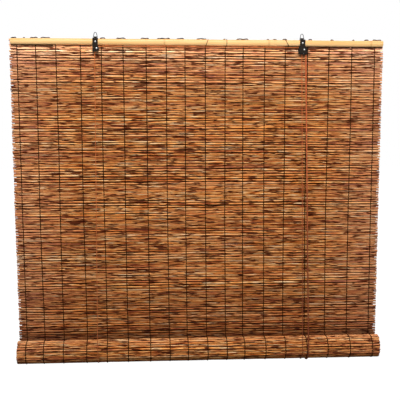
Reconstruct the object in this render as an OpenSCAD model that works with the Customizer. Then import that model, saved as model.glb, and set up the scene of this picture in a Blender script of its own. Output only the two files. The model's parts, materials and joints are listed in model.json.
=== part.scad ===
// Reed roll up blind: a mat of reeds hung between two bamboo battens, part of it wound into a roll.
// The origin is on the hang line, midway between the two hook points. +X is to the right,
// -Y is the room side and +Z is up. All sizes are in millimetres.

/* [Head battens] */
// Length of both battens
batten_l = 900; // [700:10:1200]
// Height of both battens
batten_h = 15; // [14:0.5:18]
// Thickness of the half round front batten
batten_t = 6.5; // [6:0.1:7]
// Thickness of the flat rear batten
rear_t = 5; // [4.5:0.5:8]

/* [Reed mat] */
// Width of the mat
mat_w = 905; // [690:5:1190]
// Thickness of one row of reeds
reed_d = 5.6; // [5:0.1:5.8]
// Distance from row to row
reed_pitch = 6.5; // [6.4:0.1:8]
// Length of mat from the top of the head down to the roll
hang_drop = 761; // [500:1:1000]
// Most that a reed's end falls short of the mat's edge
ragged = 5; // [0:0.5:8]
// Width of the binding inside each edge of the mat
edge_bind_w = 3; // [2:0.5:6]
// Thickness of the binding inside each edge of the mat
edge_bind_t = 1.6; // [1:0.1:3]

/* [Warp threads] */
// Width of a warp thread
thread_w = 2; // [1:0.1:3]
// Thickness of a warp thread
thread_t = 0.9; // [0.6:0.1:1]
// Distance from the mat's edge to the first warp thread
warp_inset = 21; // [10:1:25]
// Width of a thread tied round the front batten
tie_w = 1; // [0.6:0.1:2]
// Thickness of a thread tied round the front batten
tie_t = 0.7; // [0.4:0.1:1]

/* [Roll] */
// Radius of the outermost turn, at the middle of the mat
roll_r = 29.3; // [26:0.1:40]
// Distance from turn to turn
roll_pitch = 6.8; // [6.8:0.1:8]
// Number of turns in the roll
roll_turns = 3; // [2:0.5:3]
// Wall of the bamboo rod in the core
rod_wall = 2; // [1.5:0.1:3]

/* [Hangers] */
// Distance between the two hook points
hanger_span = 500; // [400:5:600]
// Width of a hanger strap
strap_w = 12.8; // [12.4:0.2:16]
// Thickness of the strap steel
strap_t = 1.2; // [0.8:0.1:1.5]
// Length of the strap's front leg
front_leg = 32.6; // [31:0.2:34]
// Length of the strap's rear leg
rear_leg = 27; // [26.4:0.2:30]
// Width of the rolled eye that holds the ring
eye_w = 7; // [5:0.5:7.2]
// Wire thickness of a ring
ring_wire = 1.6; // [1.4:0.1:2]
// Width inside a ring, along its bar
ring_in_w = 8; // [7.8:0.1:10]
// Height inside a ring, from its bar to the hook point
ring_in_h = 10; // [9:0.5:13]
// Radius of the ring's round top, at the middle of the wire
ring_top_r = 3; // [2.5:0.1:3.5]
// Shank of a nail or tack
nail_d = 2; // [1.6:0.1:2.4]
// Width of a round head
head_d = 4.5; // [4:0.1:5]
// Height of a round head
head_h = 1.2; // [0.8:0.1:1.6]

/* [Pulley and cord lock] */
// Root of the groove that a cord turns over, across
groove_d = 7; // [6.4:0.1:7.6]
// Width of the pulley across its flanges
flange_d = 12; // [11.8:0.1:12.6]
// Thickness of the pulley
pulley_w = 3.4; // [3.2:0.1:3.6]
// Space between the strap and the pulley
pulley_gap = 0.5; // [0.3:0.1:0.6]
// Edge of each pulley flange
lip_w = 0.4; // [0.3:0.05:0.5]
// Shank of the axle rivets
axle_d = 2.4; // [2:0.1:2.6]
// Distance of the axles below the front batten
axle_drop = 8; // [7.6:0.1:8.6]
// Distance of the pulley's axle from the middle of its strap
pulley_shift = 3; // [2:0.1:4]
// Distance of the lock's axle from the middle of its strap
lock_shift = 4.2; // [3:0.1:4.4]
// Sheet thickness of the lock's housing
lock_sheet = 1; // [0.8:0.1:1.1]
// Height of the lock's housing
lock_h = 19.4; // [19:0.2:24]
// Radius of the housing's corners
lock_corner = 5; // [1:0.5:6]
// Reach of the housing to the left of its strap's middle
lock_left = 9.5; // [7:0.1:12]
// Room for the cord beside the housing's side wall
lock_room = 1.2; // [0.5:0.1:3]
// Pivot pin of the pawl
pin_d = 1.6; // [1.2:0.1:1.8]
// Radius of the pawl's hub
hub_r = 1.8; // [1.7:0.1:1.9]
// Distance of the pawl's pivot below the lock's axle
pawl_drop = 8.2; // [7.6:0.1:8.6]
// Distance of the pawl's pivot to the left of the lock's axle
pawl_back = 1; // [0.8:0.1:1.2]

/* [Cords] */
// Thickness of a lift cord
cord_d = 1.8; // [1.4:0.1:1.8]
// Thickness of the twisted pull cord
pull_d = 3.6; // [3:0.1:4]
// Sideways drift of the right lift cord from the lock to the roll
lift_drift = 4.2; // [0:0.1:4.6]
// Sideways drift of the pull cord from the lock to the roll
pull_drift = 9.4; // [8:0.1:14]
// Distance of the cords' holes in the rear legs below the battens
hole_drop = 7; // [6.6:0.1:7.4]
// Radius of a stopper knot
knot_r = 2.6; // [2.4:0.1:3]

/* [Fits] */
// Running clearance round a pin or axle
run_gap = 0.05; // [0.03:0.01:0.08]
// Clearance between a soft piece and what it lies against
seat_gap = 0.3; // [0.2:0.05:0.3]
// Clearance of the cord slings round the turning roll
sling_gap = 0.4; // [0.3:0.05:0.8]

/* [Hidden] */
$fn = 48;
reed_sides = 8;
lap = 1;

// Depth of the head, from the front strap leg to the rear one
mat_half = reed_d / 2;
lath_y = mat_half + max(thread_t, tie_t + 2 * run_gap);
front_y = -lath_y - batten_t;
rear_y = lath_y + rear_t;
leg_front_y = front_y - strap_t;
leg_rear_y = rear_y + strap_t;

// Heights, down from the hook points
wire_r = ring_wire / 2;
bar_z = -ring_in_h - wire_r;
eye_bore_r = wire_r + 2 * run_gap;
eye_r = eye_bore_r + strap_t;
roof_z = bar_z - eye_r;
batten_top = roof_z - strap_t;
batten_mid = batten_top - batten_h / 2;
batten_low = batten_top - batten_h;
mat_top = batten_top - seat_gap;
leg_low = roof_z - front_leg;

// Rows of the hanging mat
row_count = round(hang_drop / reed_pitch);
row_step = hang_drop / row_count;

// Warp threads: the hand set spacings are shared out over the mat's width
warp_gaps = [43, 48, 57, 50, 52, 55, 48, 45, 49, 48, 44, 53, 50, 54, 53, 57, 57];
warp_span = mat_w - 2 * warp_inset;
function sum_to(list, n) = n <= 0 ? 0 : list[n - 1] + sum_to(list, n - 1);
function warp_x(i) = warp_span * (sum_to(warp_gaps, i) / sum_to(warp_gaps, len(warp_gaps)) - 0.5);
warps = [for (i = [0 : len(warp_gaps)]) warp_x(i)];
tied_warps = [9, 10, 13];

// The roll's axis, and its spiral by the angle turned from the back, down under and round the front
roll_y = -roll_r;
roll_z = mat_top - hang_drop;
function turn_r(a) = roll_r - roll_pitch * a / 360;
function roll_point(a, out) =
    [roll_y + (turn_r(a) + out) * cos(a), roll_z - (turn_r(a) + out) * sin(a)];
roll_length = 2 * PI * roll_turns * (roll_r - roll_pitch * roll_turns / 2);
function angle_at(s) = 360 / roll_pitch * (roll_r - sqrt(roll_r * roll_r - roll_pitch * s / PI));
roll_rows = round(roll_length / reed_pitch);
roll_step = roll_length / roll_rows;
rod_r = turn_r(360 * roll_turns) - mat_half - seat_gap;
sweep_r = roll_r + mat_half + thread_t;

// Cord runs
cord_r = cord_d / 2;
pull_r = pull_d / 2;
cord_turn_r = groove_d / 2 + cord_r + seat_gap;
axle_z = batten_low - axle_drop;
pulley_y = front_y + pulley_gap + pulley_w / 2;
lift_y = pulley_y + cord_d + 4 * run_gap;
left_x = -hanger_span / 2;
right_x = hanger_span / 2;
pulley_x = left_x + pulley_shift;
lock_x = right_x + lock_shift;
left_cord_x = pulley_x - cord_turn_r;
right_cord_x = lock_x - cord_turn_r;
tail_x = lock_x + cord_turn_r;
right_sling_x = right_cord_x + lift_drift;
pull_sling_x = tail_x + pull_drift;
lift_sling_r = sweep_r + sling_gap + cord_r;
pull_sling_r = sweep_r + sling_gap + pull_r;
back_y = roll_y + lift_sling_r;
hole_z = batten_low - hole_drop;
bend_r = rear_y - back_y;

// Cord lock
cheek_y = front_y + lock_sheet;
rear_cheek_y = lift_y + cord_r + 2 * run_gap;
lock_top = batten_low - seat_gap;
lock_low = lock_top - lock_h;
wall_x = tail_x + cord_r + lock_room;
pawl_x = lock_x - pawl_back;
pawl_z = axle_z - pawl_drop;
nose_reach = tail_x - cord_r - seat_gap - pawl_x;

// Where the static turns of cord over the pulley and the lock's roller end, and the moving runs start
left_run_z = leg_low - lap;
right_run_z = lock_low - lap;

// The pull cord's hitch round its tack
hitch_r = nail_d / 2 + run_gap + pull_r;
hitch_y = rear_y + pull_r + run_gap;
hitch_drop = 2;
hitch_low = batten_low - hitch_drop;
tack_depth = 4;

// How far a straight run from a start point leans forward to touch a sling
function lean(start_y, start_z, r) =
    atan2(start_y - roll_y, start_z - roll_z)
    + asin(r / norm([start_y - roll_y, start_z - roll_z]));

// Extrudes an outline drawn as (Y, Z) along X, centred
module along_x(length) {
    translate([-length / 2, 0, 0]) rotate([90, 0, 90]) linear_extrude(length) children();
}

// Extrudes an outline drawn as (X, Z) towards the back, from y = 0
module along_y(depth) {
    translate([0, depth, 0]) rotate([90, 0, 0]) linear_extrude(depth) children();
}

// A round bar along X, centred
module bar_x(d, length) {
    rotate([0, 90, 0]) cylinder(d = d, h = length, center = true);
}

// A round bar towards the back, from y = 0
module bar_y(d, depth) {
    rotate([-90, 0, 0]) cylinder(d = d, h = depth);
}

// A straight length of cord or wire between two points
module straight(from, to, d) {
    v = to - from;
    translate(from) rotate([0, acos(v.z / norm(v)), atan2(v.y, v.x)]) cylinder(d = d, h = norm(v));
}

// A length of cord bent round X, from an angle (0 is the back, 90 is up), for a sweep
module bent_x(r, d, from, sweep) {
    rotate([90, 0, 90]) rotate([0, 0, from]) rotate_extrude(angle = sweep) translate([r, 0]) circle(d = d);
}

// A length of cord bent round Y, from an angle (0 is the right, 90 is up), for a sweep
module bent_y(r, d, from, sweep) {
    rotate([90, 0, 0]) rotate([0, 0, from]) rotate_extrude(angle = sweep) translate([r, 0]) circle(d = d);
}

// A low round head that faces the room
module round_head() {
    ball_r = (head_d * head_d / 4 + head_h * head_h) / (2 * head_h);
    intersection() {
        translate([0, ball_r - head_h, 0]) sphere(ball_r);
        translate([0, -head_h, 0]) bar_y(head_d, head_h);
    }
}

// A half round lath, flat on its crest, with its flat back at y = 0
module half_round(length, r, t) {
    intersection() {
        bar_x(2 * r, length);
        translate([-length / 2, -t, -r]) cube([length, t, 2 * r]);
    }
}

// A plate with round corners towards the back, from y = 0, with its lower left corner at the origin
module round_plate(w, h, r, depth) {
    for (x = [r, w - r], z = [r, h - r]) translate([x, 0, z]) bar_y(2 * r, depth);
    translate([r, 0, 0]) cube([w - 2 * r, depth, h]);
    translate([0, 0, r]) cube([w, depth, h - 2 * r]);
}

module front_batten() {
    color("wheat") difference() {
        translate([0, -lath_y, batten_mid]) half_round(batten_l, batten_h / 2, batten_t);
        nail_holes();
    }
}

module rear_batten() {
    color("burlywood") difference() {
        translate([-batten_l / 2, lath_y, batten_low]) cube([batten_l, rear_t, batten_h]);
        nail_holes();
        translate([pull_sling_x, rear_y - tack_depth, batten_mid])
            bar_y(nail_d + 2 * run_gap, tack_depth + lap);
    }
}

// Holes for the two hanger nails, right through the head
module nail_holes() {
    for (x = [left_x, right_x])
        translate([x, leg_front_y - lap, batten_mid])
            bar_y(nail_d + 2 * run_gap, leg_rear_y - leg_front_y + 2 * lap);
}

// The front batten's section, grown all round
module batten_block(grow, w) {
    translate([0, grow - lath_y, batten_mid]) half_round(w, batten_h / 2 + grow, batten_t + 2 * grow);
}

// Where a tie beside a warp thread stands, clear of the hanger straps
tie_room = (strap_w + tie_w) / 2 + seat_gap;
function beside_warp(i) = warps[i] + (thread_w + tie_w) / 2 + seat_gap;
function beside_strap(x, strap_x) =
    abs(x - strap_x) < tie_room ? strap_x + (x < strap_x ? -tie_room : tie_room) : x;

// Loops of thread round the front batten
module batten_ties() {
    color([0.2, 0.12, 0.08]) for (i = tied_warps)
        translate([beside_strap(beside_strap(beside_warp(i), left_x), right_x), 0, 0]) difference() {
            batten_block(run_gap + tie_t, tie_w);
            batten_block(run_gap, tie_w + lap);
        }
}

// How far one end of a row falls short of the mat's edge
function shortfall(row, side) = ragged * (0.5 + 0.5 * sin(137.5 * row + 70 * side));

module reed(row) {
    from = -mat_w / 2 + shortfall(row, 0);
    to = mat_w / 2 - shortfall(row, 1);
    translate([from, 0, mat_top - (row + 0.5) * row_step]) rotate([0, 90, 0])
        rotate([0, 0, 180 / reed_sides])
            cylinder(r = mat_half / cos(180 / reed_sides), h = to - from, $fn = reed_sides);
}

module reed_mat() {
    color([0.72, 0.47, 0.25]) difference() {
        union() {
            for (row = [0 : row_count - 1]) reed(row);
            for (x = [-warp_span / 2, warp_span / 2])
                translate([x - edge_bind_w / 2, -edge_bind_t / 2, roll_z + row_step / 2])
                    cube([edge_bind_w, edge_bind_t, hang_drop - row_step]);
        }
        nail_holes();
    }
}

module warp_threads() {
    color([0.18, 0.1, 0.06]) for (x = warps, y = [-lath_y, mat_half])
        translate([x - thread_w / 2, y, roll_z + 2 * seat_gap])
            cube([thread_w, thread_t, hang_drop - 2 * seat_gap]);
}

// A steel strap folded over the head, with a rolled eye on top and a leg on each face
module strap(axle_x, cord_x) {
    color([0.08, 0.08, 0.09]) difference() {
        union() {
            translate([-strap_w / 2, leg_front_y, leg_low]) cube([strap_w, strap_t, batten_top - leg_low]);
            translate([-strap_w / 2, rear_y, roof_z - rear_leg])
                cube([strap_w, strap_t, batten_top - roof_z + rear_leg]);
            translate([-strap_w / 2, front_y, batten_top]) cube([strap_w, rear_y - front_y, strap_t]);
            intersection() {
                for (y = [front_y, rear_y]) translate([0, y, batten_top]) bar_x(2 * strap_t, strap_w);
                translate([-strap_w / 2, leg_front_y, batten_top])
                    cube([strap_w, leg_rear_y - leg_front_y, strap_t]);
            }
            translate([0, 0, bar_z]) bar_x(2 * eye_r, eye_w);
            translate([-eye_w / 2, -eye_r, roof_z]) cube([eye_w, 2 * eye_r, eye_r]);
        }
        translate([0, 0, bar_z]) bar_x(2 * eye_bore_r, eye_w + 2 * lap);
        translate([0, leg_front_y - lap, batten_mid])
            bar_y(nail_d + 2 * run_gap, leg_rear_y - leg_front_y + 2 * lap);
        translate([axle_x, leg_front_y - lap, axle_z]) bar_y(axle_d + 2 * run_gap, strap_t + 2 * lap);
        translate([cord_x, rear_y - lap, hole_z]) bar_y(cord_d + 2 * seat_gap, strap_t + 2 * lap);
    }
}

module left_strap() {
    translate([left_x, 0, 0]) strap(pulley_shift, left_cord_x - left_x);
}

module right_strap() {
    translate([right_x, 0, 0]) strap(lock_shift, right_sling_x - right_x);
}

// A wire ring: a straight bar in the eye, and two sides that lean in to a round top,
// with the wire swelled a little where each side meets it
module ring() {
    corner_x = ring_in_w / 2 + wire_r;
    top_z = wire_r - ring_top_r;
    rise = top_z - bar_z;
    side = atan2(rise, -corner_x) - asin(ring_top_r / norm([corner_x, rise]));
    side_l = sqrt(corner_x * corner_x + rise * rise - ring_top_r * ring_top_r);
    touch = [corner_x + side_l * cos(side), 0, bar_z + side_l * sin(side)];
    color("silver") {
        translate([0, 0, bar_z]) bar_x(ring_wire, 2 * corner_x);
        for (s = [-1, 1]) {
            straight([s * corner_x, 0, bar_z], [s * touch.x, 0, touch.z], ring_wire);
            translate([s * corner_x, 0, bar_z]) sphere(wire_r);
            translate([s * touch.x, 0, touch.z]) sphere(wire_r + run_gap);
        }
        translate([0, 0, top_z]) bent_y(ring_top_r, ring_wire, side - 90, 360 - 2 * side);
    }
}

module left_ring() {
    translate([left_x, 0, 0]) ring();
}

module right_ring() {
    translate([right_x, 0, 0]) ring();
}

module hanger_nails() {
    color("gainsboro") for (x = [left_x, right_x]) translate([x, leg_front_y, batten_mid]) {
        round_head();
        bar_y(nail_d, leg_rear_y - leg_front_y);
    }
}

module left_pulley() {
    half = pulley_w / 2;
    bore_r = axle_d / 2 + run_gap;
    root_half = cord_r + 2 * run_gap;
    color([0.12, 0.12, 0.12]) translate([pulley_x, pulley_y, axle_z]) rotate([90, 0, 0])
        rotate_extrude() polygon([
            [bore_r, -half], [flange_d / 2, -half], [flange_d / 2, lip_w - half], [groove_d / 2, -root_half],
            [groove_d / 2, root_half], [flange_d / 2, half - lip_w], [flange_d / 2, half], [bore_r, half]
        ]);
}

module left_axle() {
    tail_y = pulley_y + pulley_w / 2 + seat_gap;
    color("gainsboro") translate([pulley_x, leg_front_y, axle_z]) {
        round_head();
        bar_y(axle_d, tail_y - leg_front_y);
        translate([0, tail_y - leg_front_y, 0]) bar_y(head_d, 2 * seat_gap);
    }
}

module lock_housing() {
    from = right_x - lock_left;
    depth = rear_cheek_y + lock_sheet - front_y;
    color([0.1, 0.1, 0.1]) difference() {
        translate([from, front_y, lock_low])
            round_plate(wall_x + lock_sheet - from, lock_h, lock_corner, depth);
        translate([from - lap, cheek_y, lock_low - lap])
            cube([wall_x - from + lap, rear_cheek_y - cheek_y, lock_h + 2 * lap]);
        translate([lock_x, front_y - lap, axle_z]) bar_y(axle_d + 2 * run_gap, depth + 2 * lap);
        translate([pawl_x, front_y - lap, pawl_z]) bar_y(pin_d + 2 * run_gap, depth + 2 * lap);
    }
}

module lock_roller() {
    side = 2 * run_gap;
    w = rear_cheek_y - cheek_y - 2 * side;
    color([0.75, 0.72, 0.66]) translate([lock_x, cheek_y + side, axle_z]) difference() {
        bar_y(groove_d, w);
        translate([0, -lap, 0]) bar_y(axle_d + 2 * run_gap, w + 2 * lap);
    }
}

module lock_axle() {
    color("gainsboro") translate([lock_x, leg_front_y, axle_z]) {
        round_head();
        bar_y(axle_d, rear_cheek_y + lock_sheet - leg_front_y);
    }
}

// A toothed nose that nips the cord's tails against the housing's side wall
module lock_pawl() {
    side = 2 * run_gap;
    w = rear_cheek_y - cheek_y - 2 * side;
    tooth = 0.6;
    color([0.55, 0.5, 0.42]) translate([pawl_x, cheek_y + side, pawl_z]) difference() {
        union() {
            bar_y(2 * hub_r, w);
            along_y(w) polygon([
                [0, hub_r], [nose_reach - 2 * tooth, hub_r / 2], [nose_reach, -tooth / 2],
                [nose_reach - tooth, -tooth], [nose_reach, -2 * tooth], [nose_reach - 1.5 * tooth, -3 * tooth],
                [nose_reach - 0.8 * tooth, -3.6 * tooth], [hub_r, -3.6 * tooth], [0, -hub_r]
            ]);
        }
        translate([0, -lap, 0]) bar_y(pin_d + 2 * run_gap, w + 2 * lap);
    }
}

module pawl_pin() {
    color("gainsboro") translate([pawl_x, front_y, pawl_z]) bar_y(pin_d, rear_cheek_y + lock_sheet - front_y);
}

// From under the left pulley, over it, along under the front batten, over the roller and down
module cross_cord() {
    color([0.78, 0.45, 0.24]) translate([0, pulley_y, 0]) {
        straight([left_cord_x, 0, left_run_z], [left_cord_x, 0, axle_z], cord_d);
        translate([pulley_x, 0, axle_z]) bent_y(cord_turn_r, cord_d, 90, 90);
        straight([pulley_x, 0, axle_z + cord_turn_r], [lock_x, 0, axle_z + cord_turn_r], cord_d);
        translate([lock_x, 0, axle_z]) bent_y(cord_turn_r, cord_d, 0, 90);
        straight([tail_x, 0, axle_z], [tail_x, 0, right_run_z], cord_d);
    }
}

// The right lift cord's own turn over the roller
module lock_cord() {
    color([0.65, 0.31, 0.2]) translate([0, lift_y, 0]) {
        straight([right_cord_x, 0, right_run_z], [right_cord_x, 0, axle_z], cord_d);
        translate([lock_x, 0, axle_z]) bent_y(cord_turn_r, cord_d, 0, 180);
        straight([tail_x, 0, axle_z], [tail_x, 0, right_run_z], cord_d);
    }
}

// A straight run down the front, from just under a start point to just above its sling
module front_run(start, sling_x, r, d) {
    tilt = lean(start.y, start.z, r);
    v = [sling_x, roll_y - r * cos(tilt), roll_z + r * sin(tilt)] - start;
    inset = seat_gap * v / norm(v);
    straight(start + inset, start + v - inset, d);
}

// The bight of cord that the roll hangs in, from the front run round under the roll to the back run
module sling(start, sling_x, r, d) {
    tilt = lean(start.y, start.z, r);
    translate([sling_x, roll_y, roll_z]) bent_x(r, d, 180 - tilt, 180 + tilt);
}

// A straight run down the back of the mat
module back_run(sling_x) {
    straight([sling_x, back_y, roll_z + seat_gap], [sling_x, back_y, hole_z - bend_r], cord_d);
}

// A cord's end, bent back through the hole in the strap's rear leg and stopped by a knot
module cord_end(sling_x) {
    translate([sling_x, rear_y, hole_z - bend_r]) bent_x(bend_r, cord_d, 90, 90);
    translate([sling_x, rear_y, hole_z]) bar_y(cord_d, strap_t + lap);
    translate([sling_x, leg_rear_y, hole_z]) intersection() {
        translate([0, knot_r / 2, 0]) sphere(knot_r);
        bar_y(2 * knot_r, 2 * knot_r);
    }
}

left_start = [left_cord_x, pulley_y, left_run_z];
right_start = [right_cord_x, lift_y, right_run_z];
pull_start = [tail_x, (pulley_y + lift_y) / 2, right_run_z];

module left_cord_front() {
    color([0.78, 0.45, 0.24]) front_run(left_start, left_cord_x, lift_sling_r, cord_d);
}

module left_cord_sling() {
    color([0.78, 0.45, 0.24]) sling(left_start, left_cord_x, lift_sling_r, cord_d);
}

module left_cord_back() {
    color([0.78, 0.45, 0.24]) back_run(left_cord_x);
}

module left_cord_knot() {
    color([0.78, 0.45, 0.24]) cord_end(left_cord_x);
}

module right_cord_front() {
    color([0.65, 0.31, 0.2]) front_run(right_start, right_sling_x, lift_sling_r, cord_d);
}

module right_cord_sling() {
    color([0.65, 0.31, 0.2]) sling(right_start, right_sling_x, lift_sling_r, cord_d);
}

module right_cord_back() {
    color([0.65, 0.31, 0.2]) back_run(right_sling_x);
}

module right_cord_knot() {
    color([0.65, 0.31, 0.2]) cord_end(right_sling_x);
}

module pull_cord_front() {
    color([0.6, 0.28, 0.17]) front_run(pull_start, pull_sling_x, pull_sling_r, pull_d);
}

module pull_cord_sling() {
    color([0.6, 0.28, 0.17]) sling(pull_start, pull_sling_x, pull_sling_r, pull_d);
}

module pull_cord_back() {
    from = [pull_sling_x, roll_y + pull_sling_r, roll_z + seat_gap];
    color([0.6, 0.28, 0.17]) straight(from, [pull_sling_x, hitch_y, hitch_low], pull_d);
}

// The pull cord's end, hitched round a tack in the rear batten
module pull_cord_hitch() {
    color([0.6, 0.28, 0.17]) translate([pull_sling_x, hitch_y, batten_mid]) {
        rotate([90, 0, 0]) rotate_extrude() translate([hitch_r, 0]) circle(pull_r);
        straight([0, 0, hitch_low - batten_mid], [0, 0, -hitch_r], pull_d);
    }
}

module pull_cord_tack() {
    head_y = hitch_y + pull_r + run_gap;
    color("gainsboro") translate([pull_sling_x, 0, batten_mid]) {
        translate([0, rear_y - tack_depth, 0]) bar_y(nail_d, head_y - rear_y + tack_depth);
        translate([0, head_y, 0]) mirror([0, 1, 0]) round_head();
    }
}

// One row of reeds in the wound mat: its share of the row's length, and its height off the middle
half_flat = mat_half * tan(180 / reed_sides);
row_edge = (roll_step / 2 - mat_half) / roll_step;
row_flat = (roll_step / 2 - half_flat) / roll_step;
row_shape = [[row_edge, half_flat], [row_flat, mat_half], [1 - row_flat, mat_half], [1 - row_edge, half_flat]];

// Points along one face of the wound mat, side 1 outwards or -1 inwards
function wound_face(side) = [
    for (row = [0 : roll_rows - 1], p = row_shape)
        roll_point(angle_at((row + p[0]) * roll_step), side * p[1])
];
function reversed(list) = [for (i = [len(list) - 1 : -1 : 0]) list[i]];

module mat_roll() {
    color([0.66, 0.42, 0.22]) along_x(mat_w)
        polygon(concat(wound_face(1), reversed(wound_face(-1))));
}

// Warp threads round the outermost turn
module roll_threads() {
    from = 2;
    to = 330;
    step = 8;
    seat = mat_half + 2 * run_gap;
    outer = [for (a = [from : step : to]) roll_point(a, mat_half + thread_t)];
    inner = [for (a = [from : step : to]) roll_point(a, seat)];
    color([0.18, 0.1, 0.06]) for (x = warps) translate([x, 0, 0])
        along_x(thread_w) polygon(concat(outer, reversed(inner)));
}

module bottom_rod() {
    color("burlywood") translate([0, roll_y, roll_z]) difference() {
        bar_x(2 * rod_r, mat_w);
        bar_x(2 * (rod_r - rod_wall), mat_w + 2 * lap);
    }
}

front_batten();
rear_batten();
batten_ties();
reed_mat();
warp_threads();
left_strap();
right_strap();
left_ring();
right_ring();
hanger_nails();
left_pulley();
left_axle();
lock_housing();
lock_roller();
lock_axle();
lock_pawl();
pawl_pin();
cross_cord();
lock_cord();
left_cord_front();
left_cord_sling();
left_cord_back();
left_cord_knot();
right_cord_front();
right_cord_sling();
right_cord_back();
right_cord_knot();
pull_cord_front();
pull_cord_sling();
pull_cord_back();
pull_cord_hitch();
pull_cord_tack();
mat_roll();
roll_threads();
bottom_rod();
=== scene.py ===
import json
import math
import random

import bmesh
import bpy
import numpy as np
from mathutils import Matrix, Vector


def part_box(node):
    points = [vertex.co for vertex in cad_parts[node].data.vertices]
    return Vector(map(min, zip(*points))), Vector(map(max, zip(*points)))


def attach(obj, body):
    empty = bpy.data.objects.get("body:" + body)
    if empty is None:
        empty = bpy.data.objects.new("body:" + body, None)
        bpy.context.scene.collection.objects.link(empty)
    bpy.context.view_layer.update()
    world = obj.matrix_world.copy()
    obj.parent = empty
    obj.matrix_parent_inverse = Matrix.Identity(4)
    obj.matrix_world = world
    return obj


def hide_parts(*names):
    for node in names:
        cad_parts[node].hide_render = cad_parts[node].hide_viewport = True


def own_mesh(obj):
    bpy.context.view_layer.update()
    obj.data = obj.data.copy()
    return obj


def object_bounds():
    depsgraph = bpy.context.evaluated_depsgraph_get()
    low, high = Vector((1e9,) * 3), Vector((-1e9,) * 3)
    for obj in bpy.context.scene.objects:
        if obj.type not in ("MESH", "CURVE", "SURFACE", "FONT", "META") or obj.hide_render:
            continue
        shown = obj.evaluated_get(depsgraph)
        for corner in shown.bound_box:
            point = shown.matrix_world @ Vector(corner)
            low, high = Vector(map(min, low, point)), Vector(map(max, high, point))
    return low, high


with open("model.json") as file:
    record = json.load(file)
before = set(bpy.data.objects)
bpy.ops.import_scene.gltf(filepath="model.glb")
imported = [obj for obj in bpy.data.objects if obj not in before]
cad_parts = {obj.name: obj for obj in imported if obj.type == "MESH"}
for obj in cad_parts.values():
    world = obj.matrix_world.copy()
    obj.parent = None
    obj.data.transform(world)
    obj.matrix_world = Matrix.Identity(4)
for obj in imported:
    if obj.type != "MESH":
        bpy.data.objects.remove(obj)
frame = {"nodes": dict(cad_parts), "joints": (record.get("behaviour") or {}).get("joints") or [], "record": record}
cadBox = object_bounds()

print("frame loaded:", len(frame["nodes"]), "nodes")

joints = {joint["name"]: joint for joint in frame["joints"]}
rollAxis = Vector(joints["roll_turn"]["pos_m"])
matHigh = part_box("reed_mat")[1]


# Camera: seen from a little to the left and above, as in the photograph

cameraSet = {
    "target": (0.0017, 0.0, -0.4049), "distance": 1.8211,
    "azimuth": -3.889, "elevation": 7.2445, "roll": 0.11, "lens": 66.0,
}


def makeCamera(look):
    turn, tilt = math.radians(look["azimuth"]), math.radians(look["elevation"])
    back = Vector((math.sin(turn) * math.cos(tilt), -math.cos(turn) * math.cos(tilt), math.sin(tilt)))
    bpy.ops.object.camera_add(location=Vector(look["target"]) + back * look["distance"])
    camera = bpy.context.object
    camera.rotation_euler = (-back).to_track_quat("-Z", "Y").to_euler()
    camera.rotation_euler.rotate_axis("Z", math.radians(look["roll"]))
    camera.data.lens = look["lens"]
    bpy.context.scene.camera = camera


makeCamera(cameraSet)
print("camera set")


# Selection, dressing and node helpers

def clearSelection():
    if bpy.context.object and bpy.context.object.mode != "OBJECT":
        bpy.ops.object.mode_set(mode="OBJECT")
    bpy.ops.object.select_all(action="DESELECT")


def pick(obj, kind, test):
    # in edit mode: selects the vertices, edges or faces that pass the test
    bpy.ops.mesh.select_mode(type=kind)
    bpy.ops.mesh.select_all(action="DESELECT")
    mesh = bmesh.from_edit_mesh(obj.data)
    for element in {"VERT": mesh.verts, "EDGE": mesh.edges, "FACE": mesh.faces}[kind]:
        element.select_set(test(element))
    mesh.select_flush_mode()
    bmesh.update_edit_mesh(obj.data)


def dress(piece, body, node, finish):
    piece.data.materials.append(finish)
    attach(piece, body)
    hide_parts(node)


def shorten(piece):
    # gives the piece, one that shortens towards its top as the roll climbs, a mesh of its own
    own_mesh(piece)


def startMaterial(name):
    material = bpy.data.materials.new(name)
    material.use_nodes = True
    return material, material.node_tree, material.node_tree.nodes["Principled BSDF"]


def addNode(tree, kind, inputs=None, **settings):
    node = tree.nodes.new(kind)
    for key, value in settings.items():
        setattr(node, key, value)
    for key, value in (inputs or {}).items():
        node.inputs[key].default_value = value
    return node


def addRamp(tree, source, stops):
    ramp = addNode(tree, "ShaderNodeValToRGB")
    marks = ramp.color_ramp.elements
    while len(marks) < len(stops):
        marks.new(0.5)
    for mark, (place, colour) in zip(marks, stops):
        mark.position = place
        mark.color = (*colour, 1)
    tree.links.new(source, ramp.inputs["Fac"])
    return ramp.outputs["Color"]


def addMath(tree, kind, first, second, clamp=False):
    node = addNode(tree, "ShaderNodeMath", operation=kind, use_clamp=clamp)
    for place, value in enumerate((first, second)):
        if isinstance(value, (int, float)):
            node.inputs[place].default_value = value
        else:
            tree.links.new(value, node.inputs[place])
    return node.outputs["Value"]


def addSum(tree, *shares):
    # the sum of some values, each times its share
    first, *others = [addMath(tree, "MULTIPLY", value, share) for value, share in shares]
    for other in others:
        first = addMath(tree, "ADD", first, other)
    return first


def addMix(tree, kind, share, first, second):
    node = addNode(tree, "ShaderNodeMix", data_type="RGBA", blend_type=kind)
    for place, value in ((0, share), (6, first), (7, second)):
        if isinstance(value, (int, float)):
            node.inputs[place].default_value = value
        elif isinstance(value, tuple):
            node.inputs[place].default_value = (*value, 1)
        else:
            tree.links.new(value, node.inputs[place])
    return node.outputs[2]


def addRange(tree, value, low, high, first=0.0, last=1.0):
    # maps low to high onto first to last, and no farther
    node = addNode(tree, "ShaderNodeMapRange", {
        "From Min": low, "From Max": high, "To Min": first, "To Max": last})
    tree.links.new(value, node.inputs["Value"])
    return node.outputs["Result"]


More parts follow.
